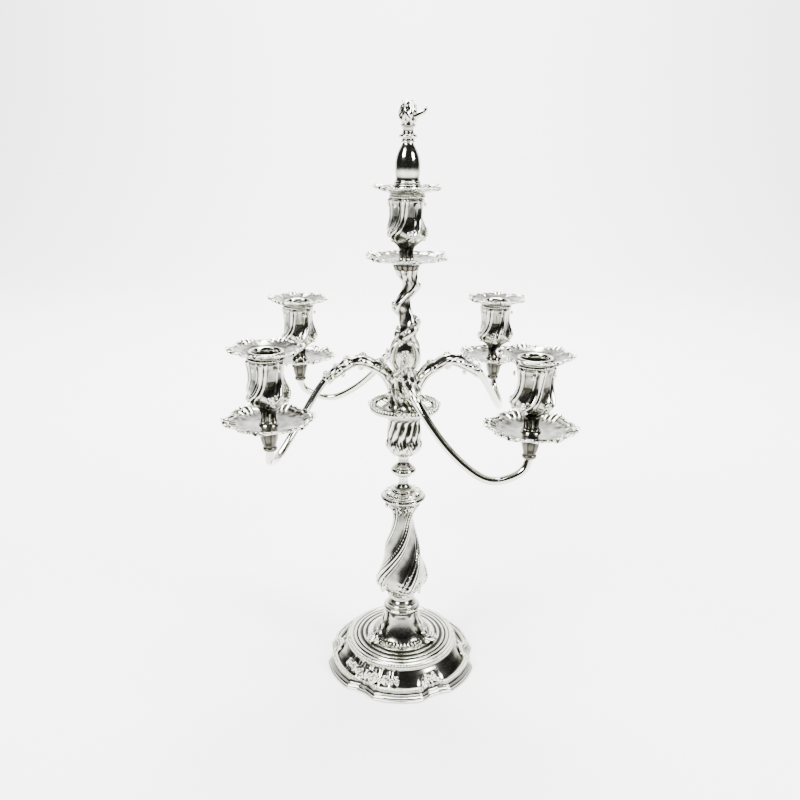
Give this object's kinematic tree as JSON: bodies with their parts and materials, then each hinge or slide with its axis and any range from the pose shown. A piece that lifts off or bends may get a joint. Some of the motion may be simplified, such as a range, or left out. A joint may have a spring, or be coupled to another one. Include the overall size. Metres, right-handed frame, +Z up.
{
  "type": "tabletop candelabra",
  "caption": "Tall rococo-revival silver table candelabra: weighted lobed foot, fluted baluster stem, lift-off branch with swirled arms, candle cups and a flame finial.",
  "frame": {"origin": "middle of the underside of the foot, on the table", "axes": "+Z up along the stem, -Y towards the front"},
  "size_m": [0.2735, 0.2803, 0.52],
  "materials": {
    "foot_silver": "polished silver plate",
    "stem_silver": "polished silver plate",
    "branch_silver": "polished silver plate, darker recesses",
    "light_silver": "polished silver plate",
    "finial_silver": "polished silver plate",
    "plate_metal": "plain sheet",
    "steel": "plain rod",
    "filling": "plaster and pitch",
    "baize": "green baize"
  },
  "bodies": {
    "stick": {"foot_shell": "foot_silver", "foot_lower_border": "foot_silver", "foot_upper_border": "foot_silver", "foot_load": "filling", "closing_plate": "plate_metal", "baize_pad": "baize", "foot_neck": "foot_silver", "neck_collar": "foot_silver", "stem_baluster": "stem_silver", "stem_cap": "stem_silver", "stem_knop": "stem_silver", "stick_socket": "stem_silver", "core_rod": "steel", "core_washer": "steel", "core_nut": "steel"},
    "spigot": {"branch_spigot": "branch_silver"},
    "branch": {"branch_pan": "branch_silver", "branch_hub": "branch_silver", "branch_rod": "steel", "branch_washer": "steel", "branch_nut": "steel", "centre_trunk": "branch_silver", "centre_collar": "branch_silver", "drip_pan_centre": "light_silver", "candle_cup_centre": "light_silver", "cup_studs": "steel", "arm_rod_front_left": "branch_silver", "arm_leaf_front_left": "branch_silver", "arm_calyx_front_left": "branch_silver", "drip_pan_front_left": "light_silver", "candle_cup_front_left": "light_silver", "arm_rod_front_right": "branch_silver", "arm_leaf_front_right": "branch_silver", "arm_calyx_front_right": "branch_silver", "drip_pan_front_right": "light_silver", "candle_cup_front_right": "light_silver", "arm_rod_back_right": "branch_silver", "arm_leaf_back_right": "branch_silver", "arm_calyx_back_right": "branch_silver", "drip_pan_back_right": "light_silver", "candle_cup_back_right": "light_silver", "arm_rod_back_left": "branch_silver", "arm_leaf_back_left": "branch_silver", "arm_calyx_back_left": "branch_silver", "drip_pan_back_left": "light_silver", "candle_cup_back_left": "light_silver"},
    "nozzle_front_left": {"nozzle_front_left": "light_silver"},
    "nozzle_front_right": {"nozzle_front_right": "light_silver"},
    "nozzle_back_right": {"nozzle_back_right": "light_silver"},
    "nozzle_back_left": {"nozzle_back_left": "light_silver"},
    "nozzle_centre": {"nozzle_centre": "light_silver"},
    "finial": {"finial_vase": "finial_silver", "finial_spindle": "finial_silver", "finial_flame": "finial_silver", "finial_stud": "steel"}
  },
  "joints": [
    {"name": "branch_lift", "type": "slide", "parent": "stick", "child": "spigot", "axis": [0, 0, 1], "range_m": [0, 0.035]},
    {"name": "branch_swivel", "type": "hinge", "parent": "spigot", "child": "branch", "pos_m": [0, 0, 0.256], "axis": [0, 0, 1], "continuous": true},
    {"name": "nozzle_lift_front_left", "type": "slide", "parent": "branch", "child": "nozzle_front_left", "axis": [0, 0, 1], "range_m": [0, 0.025]},
    {"name": "nozzle_lift_front_right", "type": "slide", "parent": "branch", "child": "nozzle_front_right", "axis": [0, 0, 1], "range_m": [0, 0.025]},
    {"name": "nozzle_lift_back_right", "type": "slide", "parent": "branch", "child": "nozzle_back_right", "axis": [0, 0, 1], "range_m": [0, 0.025]},
    {"name": "nozzle_lift_back_left", "type": "slide", "parent": "branch", "child": "nozzle_back_left", "axis": [0, 0, 1], "range_m": [0, 0.025]},
    {"name": "nozzle_lift_centre", "type": "slide", "parent": "branch", "child": "nozzle_centre", "axis": [0, 0, 1], "range_m": [0, 0.025]},
    {"name": "finial_lift", "type": "slide", "parent": "nozzle_centre", "child": "finial", "axis": [0, 0, 1], "range_m": [0, 0.018]}
  ]
}
